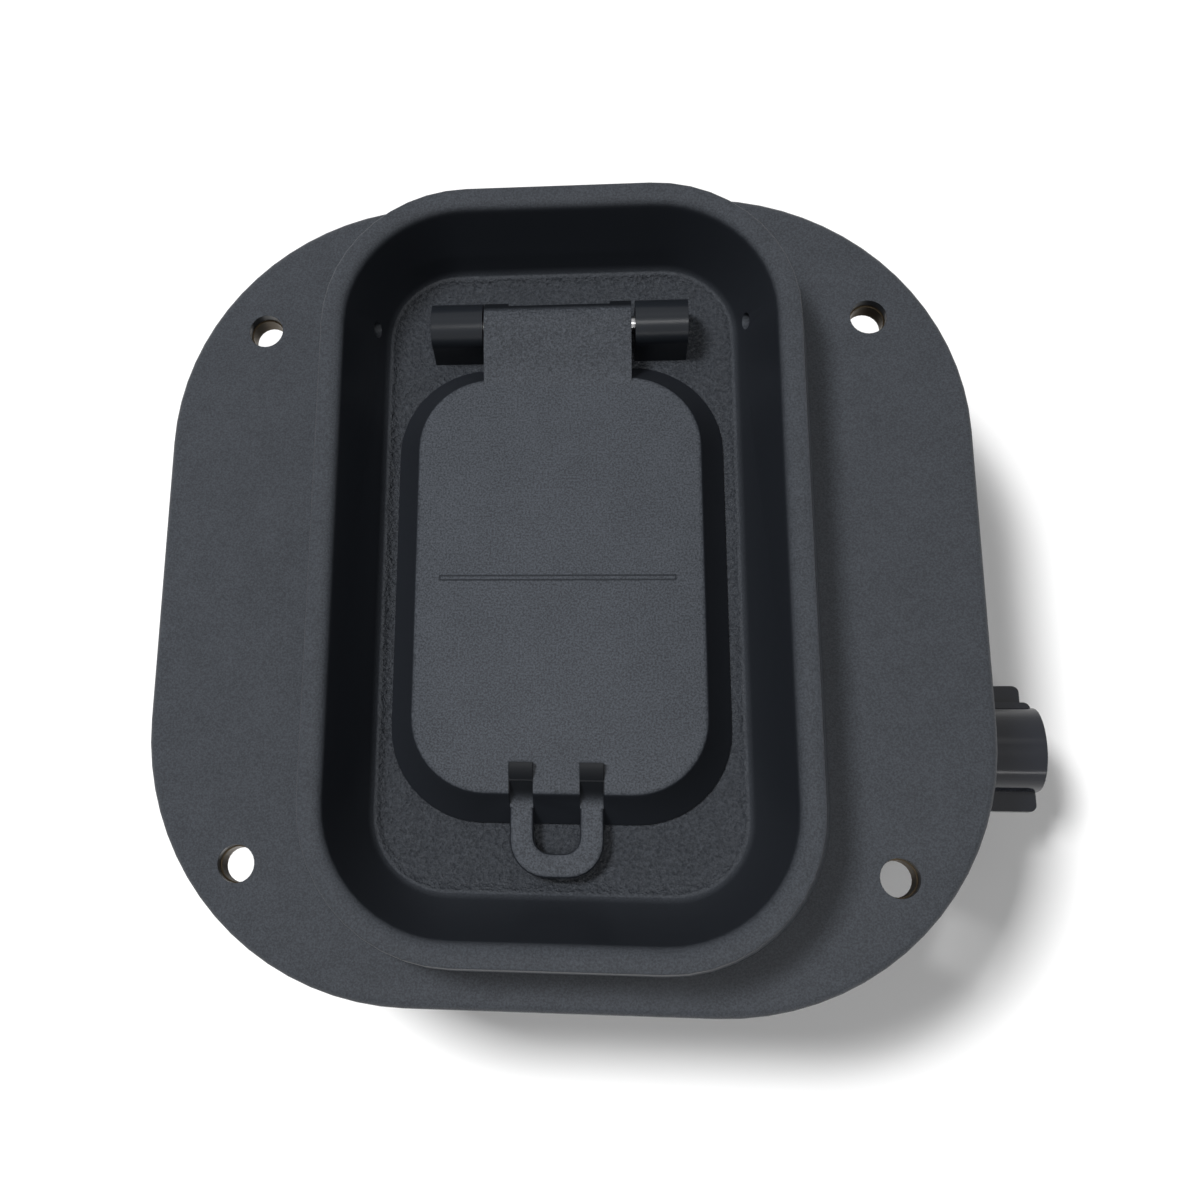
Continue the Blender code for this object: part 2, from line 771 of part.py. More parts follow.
def loop_ring():
    """The U shaped pull with rounded edges. Its open end lies inside the lid."""
    end_y = LID_Y - LID_HALF_H - LOOP_REACH
    root_y = LID_Y - LID_HALF_H + LOOP_ROOT
    half_h = (root_y - end_y) * 0.5
    outer = Section(LOOP_HALF_W, half_h, LOOP_CORNER, end_y + half_h, LOOP_TOP_Z)
    foot = [inset(outer, LOOP_EDGE, LOOP_BACK_Z), outer._replace(z=LOOP_BACK_Z + LOOP_EDGE)]
    ring = loft("loop", foot + rounded_edge(outer, LOOP_EDGE), LOOP_STEPS)
    hole = Section(
        LOOP_HALF_W - LOOP_BAR,
        half_h,
        LOOP_INNER_CORNER,
        outer.y + LOOP_BAR,
        LOOP_TOP_Z,
    )
    sections = [hole._replace(z=LOOP_BACK_Z - PAST)] + rounded_edge(hole, LOOP_EDGE, -1.0)
    sections.append(inset(sections[-1], -LOOP_EDGE, LOOP_TOP_Z + PAST))
    cut(ring, loft("loop_hole", sections, LOOP_STEPS))
    ring.location.x = LOOP_X * MM
    bpy.data.objects["loop_hole"].location.x = LOOP_X * MM
    return ring


def add_finger_loop(lid):
    """The loop and its two arms, with the lid's edge cleared above each arm."""
    inner_half = LOOP_HALF_W - LOOP_BAR
    sides = {
        "left": (LOOP_X - LOOP_HALF_W, LOOP_X - inner_half),
        "right": (LOOP_X + inner_half, LOOP_X + LOOP_HALF_W),
    }
    for side, (low_x, high_x) in sides.items():
        cut(lid, arm_notch(f"notch_{side}", low_x, high_x))
    join(lid, loop_ring())
    for side, (low_x, high_x) in sides.items():
        join(lid, loop_arm(f"arm_{side}", low_x, high_x))


def add_seal_rib(lid):
    """A ring under the lid's roof that holds the seal in place."""
    in_r = SEAL_OUT_R + FIT
    rib = ring_profile(in_r + SEAL_RIB, in_r, LID_ROOF - SEAL_RIB, LID_ROOF + OVERLAP)
    join(lid, as_mesh(turned("seal_rib", rib, 0.0, SOCKET_Y, 40)))


def build_lid():
    lid = loft("lid", [LID_BASE] + rounded_edge(LID_FACE, LID_EDGE), BOWL_STEPS)
    add_finger_loop(lid)
    hollow_low = inset(LID_BASE, LID_WALL, LID_BASE.z - PAST)
    hollow_top = inset(LID_FACE, LID_WALL, LID_ROOF)
    cut(lid, loft("lid_hollow", [hollow_low, hollow_top], SMALL_STEPS))
    join(lid, neck())
    add_seal_rib(lid)
    bore_end = BARREL_IN_X + PAST
    start = (-bore_end, AXIS_Y, AXIS_Z)
    end = (bore_end, AXIS_Y, AXIS_Z)
    cut(lid, cylinder("neck_bore", PIN_HOLE_R, start, end, 20))
    return finish(lid, PLASTIC_LID)


def build_lid_seal():
    profile = ring_profile(SEAL_OUT_R, SEAL_IN_R, COLLAR_TOP + FIT, LID_ROOF - FIT)
    finish(turned("lid_seal", profile, 0.0, SOCKET_Y, 40), RUBBER)


def build_holder():
    """The plastic tube that insulates the metal shell, with a flange clamped by the rear cover."""
    bore = SHELL_R + FIT
    flange_top = FLOOR_BACK - FIT
    flange_low = flange_top - HOLDER_FLANGE_THICK
    base_top = HOLDER_BACK + HOLDER_BASE
    profile = [
        (HOLDER_R, HOLDER_TOP),
        (HOLDER_R, flange_top),
        (HOLDER_FLANGE_R, flange_top),
        (HOLDER_FLANGE_R, flange_low),
        (HOLDER_R, flange_low),
        (HOLDER_R, HOLDER_BACK),
        (HOLDER_HOLE_R, HOLDER_BACK),
        (HOLDER_HOLE_R, base_top),
        (bore, base_top),
        (bore, HOLDER_TOP),
    ]
    holder = as_mesh(turned("socket_holder", profile, 0.0, SOCKET_Y, 40))
    half_w = BLADE_HALF_W + WINDOW_SIDE_GAP
    low_z = NEGATIVE_Z - TAB_BELOW - WINDOW_GAP
    high_z = NEGATIVE_Z + TAB_ABOVE + WINDOW_GAP
    low = (-half_w, SOCKET_Y - HOLDER_R - PAST, low_z)
    high = (half_w, SOCKET_Y - SHELL_BORE_R, high_z)
    cut(holder, box("holder_window", low, high))
    finish(holder, PLASTIC_HOLDER)


def build_shell():
    """The plated steel sleeve that a plug's side contacts press on."""
    lip_low = HOLDER_TOP + FIT
    lip_top = lip_low + SHELL_LIP_THICK
    chamfer = SHELL_LIP_THICK * 0.5
    profile = [
        (HOLDER_R - FIT, lip_top),
        (HOLDER_R - FIT, lip_low),
        (SHELL_R, lip_low),
        (SHELL_R, SHELL_BACK),
        (SHELL_HOLE_R, SHELL_BACK),
        (SHELL_HOLE_R, SHELL_BACK + SHELL_WALL),
        (SHELL_BORE_R, SHELL_BACK + SHELL_WALL),
        (SHELL_BORE_R, lip_top - chamfer),
        (SHELL_BORE_R + chamfer, lip_top),
    ]
    finish(turned("socket_shell", profile, 0.0, SOCKET_Y, 40), PLATED)


def build_contact():
    """The insulating disc and the centre contact riveted through it."""
    disc_low = SHELL_BACK + SHELL_WALL + FIT
    disc_top = disc_low + INSULATOR_THICK
    disc = ring_profile(SHELL_BORE_R - FIT, RIVET_R + FIT, disc_low, disc_top)
    finish(turned("contact_insulator", disc, 0.0, SOCKET_Y, 32), PHENOLIC)
    head_low = disc_top + FIT
    head_top = head_low + RIVET_HEAD_THICK
    tail_top = RING_Z - FIT
    tail_low = tail_top - STRIP
    rivet = [
        (0.0, head_top),
        (RIVET_R, head_top - RIVET_CROWN),
        (RIVET_HEAD_R, head_low + RIVET_HEAD_RIM),
        (RIVET_HEAD_R, head_low),
        (RIVET_R, head_low),
        (RIVET_R, tail_top),
        (RIVET_TAIL_R, tail_top),
        (RIVET_TAIL_R, tail_low + RIVET_CROWN),
        (RIVET_TAIL_R - RIVET_CROWN, tail_low),
        (0.0, tail_low),
    ]
    finish(turned("centre_contact", rivet, 0.0, SOCKET_Y, 24), BRASS)


def blade(name, low_x, z):
    """A flat blade along X in the connector, with a narrowed tip."""
    half = STRIP * 0.5
    tip_half = BLADE_HALF_W - BLADE_TIP_TAPER
    outline = [
        (low_x, ARM_Y - BLADE_HALF_W),
        (BLADE_END_X - BLADE_TIP, ARM_Y - BLADE_HALF_W),
        (BLADE_END_X, ARM_Y - tip_half),
        (BLADE_END_X, ARM_Y + tip_half),
        (BLADE_END_X - BLADE_TIP, ARM_Y + BLADE_HALF_W),
        (low_x, ARM_Y + BLADE_HALF_W),
    ]
    return flat_plate(name, outline, z - half, z + half)


def build_positive_terminal():
    """One bent strip: a ring under the rivet, a run sideways, a riser and the blade.

    Each stretch is a little slimmer than the one before, so that no two joined faces share a plane.
    """
    half = STRIP * 0.5
    low_z = RING_Z
    top_z = RING_Z + STRIP
    terminal = upright("positive_terminal", RING_R, SOCKET, low_z, top_z, 24)
    low = (-BLADE_HALF_W, ARM_Y - BLADE_HALF_W, low_z + STEP_IN)
    high = (BLADE_HALF_W, SOCKET_Y, top_z - STEP_IN)
    join(terminal, box("positive_run", low, high))
    slim = 2.0 * STEP_IN
    low = (-BLADE_HALF_W + slim, ARM_Y - BLADE_HALF_W + slim, low_z + slim)
    high = (BEND_X + half, ARM_Y + BLADE_HALF_W - slim, top_z - slim)
    join(terminal, box("positive_reach", low, high))
    slim = 3.0 * STEP_IN
    low = (BEND_X - half, ARM_Y - BLADE_HALF_W + slim, low_z + slim)
    high = (BEND_X + half - slim, ARM_Y + BLADE_HALF_W - slim, POSITIVE_Z + half - slim)
    join(terminal, box("positive_riser", low, high))
    join(terminal, blade("positive_blade", BEND_X - half + slim, POSITIVE_Z))
    hole = upright("positive_hole", RIVET_R + FIT, SOCKET, low_z - PAST, top_z + PAST, 24)
    cut(terminal, hole)
    finish(terminal, BRASS)


def build_negative_terminal():
    """One bent strip: a tab on the shell's side, a run sideways and the blade."""
    half = STRIP * 0.5
    near_y = SOCKET_Y - SHELL_R - FIT
    terminal = box(
        "negative_terminal",
        (-BLADE_HALF_W, near_y - STRIP, NEGATIVE_Z - TAB_BELOW),
        (BLADE_HALF_W, near_y, NEGATIVE_Z + TAB_ABOVE),
    )
    slim = STEP_IN
    low = (-BLADE_HALF_W + slim, ARM_Y - BLADE_HALF_W + slim, NEGATIVE_Z - half + slim)
    high = (BLADE_HALF_W - slim, near_y - STRIP * 0.5, NEGATIVE_Z + half - slim)
    join(terminal, box("negative_run", low, high))
    join(terminal, blade("negative_blade", -BLADE_HALF_W + 2.0 * slim, NEGATIVE_Z))
    finish(terminal, BRASS)


def cover_flange():
    low_y = SCREW_Y_LOW - COVER_MARGIN
    high_y = SCREW_Y_HIGH + COVER_MARGIN
    flange = Section(
        SCREW_X + COVER_MARGIN,
        (high_y - low_y) * 0.5,
        COVER_FLANGE_CORNER,
        (high_y + low_y) * 0.5,
        COVER_FLANGE_TOP,
    )
    foot = flange._replace(z=COVER_FLANGE_LOW)
    return loft("rear_cover", [foot] + rounded_edge(flange, COVER_EDGE), SMALL_STEPS)


def arm_outline(wall):
    """The side arm's section, less a wall's thickness all round."""
    mid_z = (ARM_LOW_Z + ARM_HIGH_Z) * 0.5
    half_z = (ARM_HIGH_Z - ARM_LOW_Z) * 0.5
    return side_outline(ARM_HALF_Y - wall, half_z - wall, ARM_CORNER, ARM_Y, mid_z)


def shroud_outline(wall):
    return side_outline(
        SHROUD_HALF_Y - wall,
        SHROUD_HALF_Z - wall,
        SHROUD_CORNER - wall,
        ARM_Y,
        SHROUD_Z,
    )


def key_plate(name, near_y, far_y, low_z, high_z, set_back):
    """A keying rib on the shroud's side, rounded at its outer corner."""
    side = math.copysign(1.0, far_y - near_y)
    start_x = ARM_END_X - OVERLAP
    end_x = SHROUD_END_X - set_back
    outline = [(start_x, near_y), (end_x, near_y)]
    for step in range(SMALL_STEPS + 1):
        angle = math.radians(90.0 * step / SMALL_STEPS)
        x = end_x - KEY_CORNER + KEY_CORNER * math.cos(angle)
        y = far_y - side * (KEY_CORNER - KEY_CORNER * math.sin(angle))
        outline.append((x, y))
    outline.append((start_x, far_y))
    return flat_plate(name, outline, low_z, high_z)


def add_keys(cover):
    """The keying ribs on the shroud: a wing on one side, a rib on a ledge on the other."""
    wing_y = ARM_Y - WING_REACH
    rib_y = ARM_Y + RIB_REACH
    ledge_y = ARM_Y + LEDGE_REACH
    wing_high = WING_LOW_Z + WING_THICK
    rib_high = RIB_LOW_Z + RIB_THICK
    join(cover, key_plate("shroud_wing", ARM_Y, wing_y, WING_LOW_Z, wing_high, SET_BACK))
    join(cover, key_plate("shroud_rib", ARM_Y, rib_y, RIB_LOW_Z, rib_high, 2.0 * SET_BACK))
    low_z = RIB_LOW_Z + OVERLAP
    join(cover, key_plate("shroud_ledge", ARM_Y, ledge_y, low_z, LEDGE_HIGH_Z, 3.0 * SET_BACK))


def hollow_out(cover):
    """The round well for the socket, the seat for its flange, and the space in the side arm."""
    high_z = COVER_SPIGOT_TOP + PAST
    cut(cover, upright("cover_bore", COVER_BORE_R, SOCKET, COVER_WALL, high_z, 48))
    seat_low = FLOOR_BACK - HOLDER_FLANGE_THICK - 2.0 * FIT
    cut(cover, upright("cover_seat", HOLDER_FLANGE_R + FIT, SOCKET, seat_low, high_z, 48))
    inside = arm_outline(COVER_WALL)
    low_x = ARM_START_X + COVER_WALL
    cut(cover, plate_on_side("arm_inside", inside, low_x, ARM_END_X - COVER_WALL))
    mouth = shroud_outline(SHROUD_WALL)
    cut(cover, plate_on_side("shroud_mouth", mouth, ARM_END_X, SHROUD_END_X + PAST))


def cut_blade_slots(cover):
    half_y = BLADE_HALF_W + SLOT_GAP
    half_z = STRIP * 0.5 + SLOT_GAP
    for name, z in (("slot_positive", POSITIVE_Z), ("slot_negative", NEGATIVE_Z)):
        low = (ARM_END_X - COVER_WALL - PAST, ARM_Y - half_y, z - half_z)
        high = (ARM_END_X + PAST, ARM_Y + half_y, z + half_z)
        cut(cover, box(name, low, high))


def build_rear_cover():
    cover = cover_flange()
    join(cover, upright("cover_body", COVER_R, SOCKET, 0.0, COVER_FLANGE_LOW + OVERLAP, 48))
    spigot_low = COVER_FLANGE_TOP - OVERLAP
    join(cover, upright("spigot", COVER_SPIGOT_R, SOCKET, spigot_low, COVER_SPIGOT_TOP, 48))
    join(cover, plate_on_side("cover_arm", arm_outline(0.0), ARM_START_X, ARM_END_X))
    shroud = shroud_outline(0.0)
    join(cover, plate_on_side("shroud", shroud, ARM_END_X - OVERLAP, SHROUD_END_X))
    add_keys(cover)
    hollow_out(cover)
    cut_blade_slots(cover)
    for number, spot in enumerate(screw_places(), 1):
        low = COVER_FLANGE_LOW - PAST
        high = COVER_FLANGE_TOP + PAST
        cut(cover, upright(f"cover_hole_{number}", SCREW_R + 2.0 * FIT, spot, low, high, 16))
    finish(cover, PLASTIC_GLOSS)


def build_rear_gasket():
    profile = ring_profile(GASKET_OUT_R, GASKET_IN_R, COVER_SPIGOT_TOP + FIT, FLOOR_BACK - FIT)
    finish(turned("rear_gasket", profile, 0.0, SOCKET_Y, 40), RUBBER)


def build_cover_screws():
    """Thread-forming screws with a domed head and a hexagon recess, driven from the back."""
    head_top = COVER_FLANGE_LOW - FIT
    head_low = head_top - SCREW_HEAD_THICK
    profile = [
        (0.0, SCREW_TIP_Z),
        (SCREW_POINT_R, SCREW_TIP_Z),
        (SCREW_R, SCREW_TIP_Z - SCREW_POINT),
        (SCREW_R, head_top),
        (SCREW_HEAD_R, head_top),
        (SCREW_HEAD_R, head_low + SCREW_DOME),
        (SCREW_DOME_R, head_low),
        (0.0, head_low),
    ]
    for number, (x, y) in enumerate(screw_places(), 1):
        screw = as_mesh(turned(f"cover_screw_{number}", profile, x, y, 20))
        high = head_low + DRIVE_DEPTH
        cut(screw, upright(f"drive_{number}", DRIVE_R, (x, y), head_low - PAST, high, 6))
        finish(screw, SCREW_BLACK)


def put_on_hinge():
    """An empty on the hinge axis carries the lid and its seal."""
    hinge = bpy.data.objects.new("hinge_axis", None)
    PARTS.objects.link(hinge)
    hinge.location = (0.0, AXIS_Y * MM, AXIS_Z * MM)
    bpy.context.view_layer.update()
    for name in ("lid", "lid_seal"):
        child = bpy.data.objects[name]
        child.parent = hinge
        child.matrix_parent_inverse = hinge.matrix_world.inverted()


clear_scene()
PARTS = new_collection("accessory_socket", False)
CUTTERS = new_collection("cutters", True)
build_bezel()
build_sleeves()
build_hinge_pin()
build_lid()
build_lid_seal()
build_holder()
build_shell()
build_contact()
build_positive_terminal()
build_negative_terminal()
build_rear_cover()
build_rear_gasket()
build_cover_screws()
put_on_hinge()
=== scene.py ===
"""Looks of the recessed accessory socket: grained and polished plastics, metals, light and camera."""

import json
import math

import bpy
from mathutils import Matrix, Vector


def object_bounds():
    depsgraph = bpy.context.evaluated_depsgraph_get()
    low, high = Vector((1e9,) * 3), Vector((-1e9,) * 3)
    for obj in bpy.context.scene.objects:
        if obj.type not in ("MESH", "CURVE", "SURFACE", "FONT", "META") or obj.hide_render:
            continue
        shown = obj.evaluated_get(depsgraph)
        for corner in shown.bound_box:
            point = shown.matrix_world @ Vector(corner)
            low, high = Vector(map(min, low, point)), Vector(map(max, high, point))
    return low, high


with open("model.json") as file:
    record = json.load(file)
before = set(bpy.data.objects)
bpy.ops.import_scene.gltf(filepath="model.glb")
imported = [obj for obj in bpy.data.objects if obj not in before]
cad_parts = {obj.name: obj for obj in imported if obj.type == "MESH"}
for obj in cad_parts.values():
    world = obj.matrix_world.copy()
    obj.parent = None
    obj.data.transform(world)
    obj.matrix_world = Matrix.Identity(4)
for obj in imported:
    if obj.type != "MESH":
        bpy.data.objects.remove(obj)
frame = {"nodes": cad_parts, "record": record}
bpy.context.scene.view_settings.view_transform = "Standard"
nodes = frame["nodes"]
cad_low, cad_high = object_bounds()

MM = 0.001
WELD = 0.002 * MM
SMOOTH_ANGLE = math.radians(32.0)
BEVEL_SAMPLES = 4
WHITE = (1.0, 1.0, 1.0, 1.0)

# Camera, solved from the photograph.
CAMERA_AT = (0.0060857, -0.0495217, 0.2556002)
CAMERA_FORWARD = (-0.1157706, 0.2669875, -0.9567209)
CAMERA_UP = (0.0064397, 0.9633790, 0.2680663)
CAMERA_SHIFT = (0.1333, -0.0583)
SENSOR = 36.0
LENS = 40.93
CLIP_NEAR, CLIP_FAR = 0.01, 20.0

# Heights in the frame, and the hinge's line, which the lid's joint gives.
HINGE_Y = frame["record"]["behaviour"]["joints"][0]["pos_m"][1]
FLOOR_Z = 50.6 * MM
LIP_Z = 62.0 * MM

# Lip: the heights over which its roundness sets in, and over which the grain of its outside ends.
LIP_ROUND = 1.6 * MM
LIP_RISE = (LIP_Z, LIP_Z + 2.0 * MM)
OUTSIDE_TOP = (LIP_Z + 1.0 * MM, LIP_Z + 4.0 * MM)

# Hinge barrels: their distance from the middle in x, their reach from the hinge in y, and their foot.
BARRELS = (11.6 * MM, 20.3 * MM)
BARREL_REACH = 4.5 * MM
BARREL_FOOT = (FLOOR_Z + 0.1 * MM, FLOOR_Z + 0.3 * MM)

# Bowl: half its inside in x and y with room to spare, and where the floor's rounded edge ends its grain.
BOWL_HALF_W = 32.0 * MM
BOWL_HALF_H = 54.0 * MM
BOWL_FLOOR_TOP = (FLOOR_Z + 0.6 * MM, FLOOR_Z + 1.2 * MM)

# Arms of the finger loop: their outer and inner sides in x, and their fold and top end in y.
ARMS = (-7.1 * MM, 6.6 * MM)
ARMS_GAP = (-3.55 * MM, 3.05 * MM)
ARMS_FOLD = (-35.4 * MM, -32.6 * MM)
ARMS_TOP = (-29.1 * MM, -28.9 * MM)

# Knuckle of the lid: the smooth side behind the pin, which is darkened with painted shade.
KNUCKLE_BACK = (HINGE_Y + 1.0 * MM, HINGE_Y + 2.0 * MM)

# Neck of the lid: where its coarse grain sets in.
NECK = (27.0 * MM, 34.0 * MM)
NECK_GRAIN = 0.7

# Engraved bar on the lid.
BAR_Y = -1.6 * MM
BAR_LEFT, BAR_RIGHT = -17.8 * MM, 17.3 * MM
BAR_HALF = 0.33 * MM
BAR_LINE = 0.07 * MM
BAR_SOFT = 0.06 * MM

# Masks: the width of a crisp border, how far from the middle an outer face lies, and the z of a
# flat face's normal.
CRISP = 0.05 * MM
OUTWARD = (2.0 * MM, 8.0 * MM)
FLAT = (0.9, 0.95)

# Moulded plastic: grained faces, polished walls, and the satin of barrels, arms and knuckle.
# The walls' darker colour is partly their polish and partly painted shade on steep faces; it
# also gives the painted shade in the grain's pits and in the grooves.
GRAINED = (0.0383, 0.0423, 0.0493)
POLISHED_AND_SHADED = (0.0135, 0.0155, 0.0195)
SATIN = (0.0115, 0.0135, 0.017)
MOULDED_SHINE = 0.2
GRAINED_ROUGHNESS = 0.5
COARSE_SHEEN = 0.14

# Noises: features per metre, detail and roughness.
FINE_GRAIN = (1000.0 / 0.28, 3.0, 0.65)
HIDE_GRAIN = (1000.0 / 0.65, 3.0, 0.55)
GRAIN_CLOUDS = (1000.0 / 5.0, 6.0, 0.7)
PLASTIC_CLOUDS = (220.0, 4.0, 0.5)
PLASTIC_WAVES = (400.0, 2.0, 0.5)
METAL_CLOUDS = (300.0, 5.0, 0.5)
METAL_SCRATCHES = (600.0, 6.0, 0.7)

# Moulded grain: how far the noises spread, their shares of the colour, the painted shade in
# the coarse grain's pits and in the grooves, and the relief.
NOISE_SPREAD = (0.3, 0.7)
DARK_GRAIN, PALE_GRAIN = 0.5, 1.5
CLOUD_SHARE = 0.06
PIT_SHADE_LEVELS = (0.38, 0.56)
PIT_SHADE_SHARE = 0.4
GRAIN_BUMP = 0.06 * MM
HIDE_DEPTH = 11.0
GROOVE_DEPTH = 3.0
GROOVE_SHADE = 0.75

# Smooth plastics and metals: their finish, and the radius of their edges.
CLOUD_SPREAD = (0.2, 0.8)
PLASTIC_PALE = 1.25
PLASTIC_RANGE = (0.85, 1.15)
METAL_DARK = 0.8
METAL_RANGE = (0.7, 1.3)
SMOOTH_BUMP = 0.01 * MM
SCRATCH_STRENGTH = 0.6
PLASTIC_SHINE = 0.3
PLASTIC_EDGE = 0.2 * MM
METAL_EDGE = 0.1 * MM

# Nodes with a plain look: their names, material, colour and roughness.
SLEEVES = [f"bolt_sleeve_{number}" for number in range(1, 5)]
SCREWS = [f"cover_screw_{number}" for number in range(1, 5)]
PLASTICS = (
    (["rear_cover"], "cover_plastic", (0.009, 0.0105, 0.0155), 0.15),
    (["socket_holder"], "holder_plastic", (0.013, 0.013, 0.014), 0.45),
    (["contact_insulator"], "insulator_board", (0.16, 0.07, 0.032), 0.6),
    (["lid_seal", "rear_gasket"], "seal_rubber", (0.008, 0.008, 0.008), 0.8),
)
METALS = (
    (["hinge_pin"], "pin_steel", (0.5, 0.5, 0.51), 0.3),
    (["socket_shell"], "shell_plating", (0.62, 0.61, 0.58), 0.18),
    (SLEEVES, "sleeve_steel", (0.1, 0.078, 0.052), 0.5),
    (["centre_contact", "positive_terminal", "negative_terminal"], "contact_brass", (0.6, 0.42, 0.14), 0.3),
    (SCREWS, "screw_steel", (0.03, 0.03, 0.033), 0.45),
)

# Surroundings: the even light, the floor's size, and where the floor turns plain white.
WORLD_FILL = 0.06
FLOOR_SIZE = 6.0
FLOOR_ROUGHNESS = 0.9
FLOOR_FADE = (0.15, 0.5)

# Softboxes: name, place, width and height, watts, and whether the plastic mirrors it.
LAMP_AIM = (0.0, 0.0, 0.05)
LAMPS = (
    ("key", (-0.42, 0.18, 1.15), (0.22, 0.22), 14.0, False),
    ("left", (-1.0, 0.0, 0.75), (0.4, 0.8), 0.5, False),
    ("right", (1.0, 0.0, 0.75), (0.4, 0.8), 0.8, False),
    ("front", (0.08, -0.3, 1.15), (0.3, 0.17), 2.8, True),
    ("back", (0.12, 0.42, 1.15), (0.6, 0.25), 0.3, True),
    ("low", (0.3, -1.0, 0.35), (0.6, 0.09), 0.8, True),
)


def new_material(name):
    """A material that holds only its Principled shader and its output."""
    material = bpy.data.materials.new(name)
    material.use_nodes = True
    return material, material.node_tree, material.node_tree.nodes["Principled BSDF"]


def add(tree, kind, inputs=None, **settings):
    """A node with its settings and its unlinked inputs filled in."""
    node = tree.nodes.new(kind)
    for key, value in settings.items():
        setattr(node, key, value)
    for key, value in (inputs or {}).items():
        node.inputs[key].default_value = value
    return node


def own_place(tree):
    """The place on the surface in metres of the object."""
    return add(tree, "ShaderNodeTexCoord").outputs["Object"]


def noise(tree, place, scale, detail, roughness):
    """A noise texture with its scale in features per metre."""
    node = add(tree, "ShaderNodeTexNoise", {"Scale": scale, "Detail": detail, "Roughness": roughness})
    tree.links.new(place, node.inputs["Vector"])
    return node.outputs["Fac"]


def ramp(tree, value, low, high, to_low=0.0, to_high=1.0):
    """The value eased from one range to another, and held at its ends."""
    limits = {"From Min": low, "From Max": high, "To Min": to_low, "To Max": to_high}
    node = add(tree, "ShaderNodeMapRange", limits, interpolation_type="SMOOTHSTEP")
    tree.links.new(value, node.inputs["Value"])
    return node.outputs["Result"]


def math_node(tree, operation, *values):
    """The result of one operation on plain numbers or on other nodes' outputs."""
    node = add(tree, "ShaderNodeMath", operation=operation)
    for socket, value in zip(node.inputs, values):
        if isinstance(value, float):
            socket.default_value = value
        else:
            tree.links.new(value, socket)
    return node.outputs[0]


def all_of(tree, *masks):
    """The product of several masks and plain factors."""
    product = masks[0]
    for mask in masks[1:]:
        product = math_node(tree, "MULTIPLY", product, mask)
    return product


def outside(tree, mask):
    """The opposite of a mask."""
    return math_node(tree, "SUBTRACT", 1.0, mask)


def inside(tree, value, low, high, soft):
    """One between two limits, and falling to zero over a soft width beyond them."""
    rise = ramp(tree, value, low - soft, low)
    fall = ramp(tree, value, high, high + soft, 1.0, 0.0)
    return all_of(tree, rise, fall)


def mix_colour(tree, share, first, second):
    """The first colour where the share is zero, and the second where it is one."""
    node = add(tree, "ShaderNodeMix", data_type="RGBA")
    tree.links.new(share, node.inputs[0])
    for socket, value in ((node.inputs[6], first), (node.inputs[7], second)):
        if isinstance(value, tuple):
            socket.default_value = (*value, 1.0)
        else:
            tree.links.new(value, socket)
    return node.outputs[2]


def scaled(values, factor):
    """A colour or a range with each of its parts made larger or smaller."""
    return tuple(part * factor for part in values)


def bump(tree, height, distance, edges, strength=1.0):
    """The normal of a relief that lies on already rounded edges."""
    node = add(tree, "ShaderNodeBump", {"Strength": strength, "Distance": distance})
    tree.links.new(height, node.inputs["Height"])
    tree.links.new(edges, node.inputs["Normal"])
    return node.outputs["Normal"]


def soft_edges(tree, radius):
    """The normal with its edges rounded by a fixed radius or by one that changes over the part."""
    node = add(tree, "ShaderNodeBevel", samples=BEVEL_SAMPLES)
    if isinstance(radius, float):
        node.inputs["Radius"].default_value = radius
    else:
        tree.links.new(radius, node.inputs["Radius"])
    return node.outputs["Normal"]


def split_axes(tree, vector):
    """The x, y and z of a vector."""
    split = add(tree, "ShaderNodeSeparateXYZ")
    tree.links.new(vector, split.inputs[0])
    return split.outputs["X"], split.outputs["Y"], split.outputs["Z"]


def own_axes(tree, normal):
    """A world normal turned into the object's own axes, as x, y and z."""
    turn = add(
        tree,
        "ShaderNodeVectorTransform",
        vector_type="NORMAL",
        convert_from="WORLD",
        convert_to="OBJECT",
    )
    tree.links.new(normal, turn.inputs[0])
    return split_axes(tree, turn.outputs[0])


def away_from_middle(tree, place, facing):
    """One where the surface faces away from the middle of the part, and zero where it faces in or up."""
    parts = [math_node(tree, "MULTIPLY", at, turn) for at, turn in zip(place[:2], facing[:2])]
    return ramp(tree, math_node(tree, "ADD", *parts), *OUTWARD)


def edge_radius(tree, place, facing, edge):
    """The plain edge's radius, and a larger one on the lip, except on its outer side."""
    outer = away_from_middle(tree, place, facing)
    lip = all_of(tree, ramp(tree, place[2], *LIP_RISE), outside(tree, outer))
    return ramp(tree, lip, 0.0, 1.0, edge, LIP_ROUND)


def grain_colour(tree, place, fine, grain, tint):
    """The charcoal of the grained faces, speckled by the fine grain and clouded over larger areas."""
    cloud = noise(tree, place, *GRAIN_CLOUDS)
    speckle = ramp(tree, fine, *NOISE_SPREAD, -grain, grain)
    clouds = ramp(tree, cloud, *NOISE_SPREAD, -CLOUD_SHARE, CLOUD_SHARE)
    level = math_node(tree, "ADD", math_node(tree, "ADD", speckle, clouds), 0.5)
    middle = scaled(GRAINED, tint)
    return mix_colour(tree, level, scaled(middle, DARK_GRAIN), scaled(middle, PALE_GRAIN))


def pit_shade(tree, hide, coarse):
    """Painted shade in the low places of the coarse grain."""
    low = ramp(tree, hide, *PIT_SHADE_LEVELS, 1.0, 0.0)
    return all_of(tree, low, coarse, PIT_SHADE_SHARE)


def grain_height(tree, fine, hide, coarse, grained):
    """The relief of the grained faces: fine grain, and the deeper hide grain where it is coarse."""
    deep = all_of(tree, hide, coarse, HIDE_DEPTH, grained)
    return math_node(tree, "ADD", all_of(tree, fine, grained), deep)


